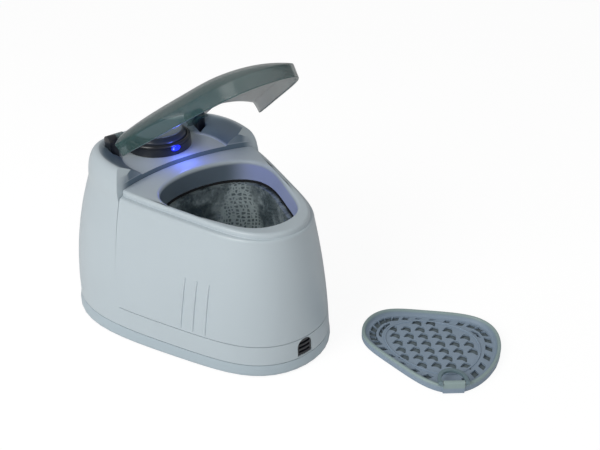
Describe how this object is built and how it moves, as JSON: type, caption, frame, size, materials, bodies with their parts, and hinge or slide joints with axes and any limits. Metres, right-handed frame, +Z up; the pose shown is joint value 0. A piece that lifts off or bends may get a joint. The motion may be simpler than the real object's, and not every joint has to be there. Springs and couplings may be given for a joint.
{
  "type": "ultrasonic contact lens cleaner",
  "caption": "Countertop contact lens cleaner: pear-shaped body with a water tank, smoked lid hinged behind it, round push button and a slotted lens basket.",
  "frame": {"origin": "middle of the body's underside, on the surface that it stands on", "axes": "+Z up, -Y towards the nose (the tank end, front), +X to the right seen from above with the nose towards the viewer"},
  "size_m": [0.1936, 0.2774, 0.185],
  "materials": {
    "housing": "satin moulded plastic, pale blue-grey",
    "base": "satin moulded plastic, slightly darker blue-grey",
    "dark": "dark glossy plastic",
    "lid_clear": "smoked clear plastic",
    "button": "dark blue-black satin plastic",
    "inlay": "finely textured blue-grey plastic",
    "lamp_lens": "blue clear plastic",
    "lamp": "blue clear resin",
    "steel": "drawn stainless steel",
    "screw_steel": "zinc plated steel",
    "rubber": "matt black rubber",
    "ceramic": "silvered ceramic",
    "wire_red": "insulated wire",
    "wire_black": "insulated wire",
    "board": "green circuit board",
    "component": "moulded component case",
    "cap_sleeve": "shrink sleeve",
    "coil": "enamelled copper winding",
    "sink": "extruded aluminium",
    "fuse_glass": "clear glass tube",
    "basket_plastic": "satin grey-blue plastic"
  },
  "bodies": {
    "housing": {"grip_pad": "rubber", "base_pan": "base", "rear_housing": "housing", "front_shell": "housing", "vent_grille": "dark", "housing_screws": "screw_steel", "tank": "steel", "tank_gasket": "rubber", "tank_clamp": "steel", "clamp_screws": "screw_steel", "piezo_disc": "ceramic", "piezo_leads": "wire_red", "hinge_lugs": "dark", "pod_ring": "dark", "button_spring": "screw_steel", "led_lens": "lamp_lens", "indicator_led": "lamp", "control_pcb": "board", "tact_switch": "component", "control_pcb_screws": "screw_steel", "driver_pcb": "board", "driver_pcb_screws": "screw_steel", "transformer": "component", "heat_sink": "sink", "power_transistor": "component", "capacitors": "cap_sleeve", "tuning_coil": "coil", "fuse": "fuse_glass", "power_inlet": "dark", "inlet_leads": "wire_black", "hinge_pins": "screw_steel"},
    "lid": {"lid": "lid_clear"},
    "button": {"button_cap": "button", "button_inlay": "inlay"},
    "basket": {"basket": "basket_plastic"},
    "bail": {"basket_bail": "basket_plastic", "bail_pins": "screw_steel"}
  },
  "joints": [
    {"name": "lid_hinge", "type": "hinge", "parent": "housing", "child": "lid", "pos_m": [0, 0.057, 0.1085], "axis": [-1, 0, 0], "range_deg": [-35, 33]},
    {"name": "button_press", "type": "slide", "parent": "housing", "child": "button", "axis": [0, 0, -1], "range_m": [0, 0.0015], "stiffness_N_per_m": 800, "deforming": ["button_spring"]},
    {"name": "basket_lift", "type": "slide", "parent": "housing", "child": "basket", "axis": [0, 0, 1], "range_m": [0, 0.12]},
    {"name": "bail_hinge", "type": "hinge", "parent": "basket", "child": "bail", "pos_m": [0.05109, -0.1721, 0.0072], "axis": [0.7821, -0.6231, 0], "range_deg": [0, 80]}
  ]
}
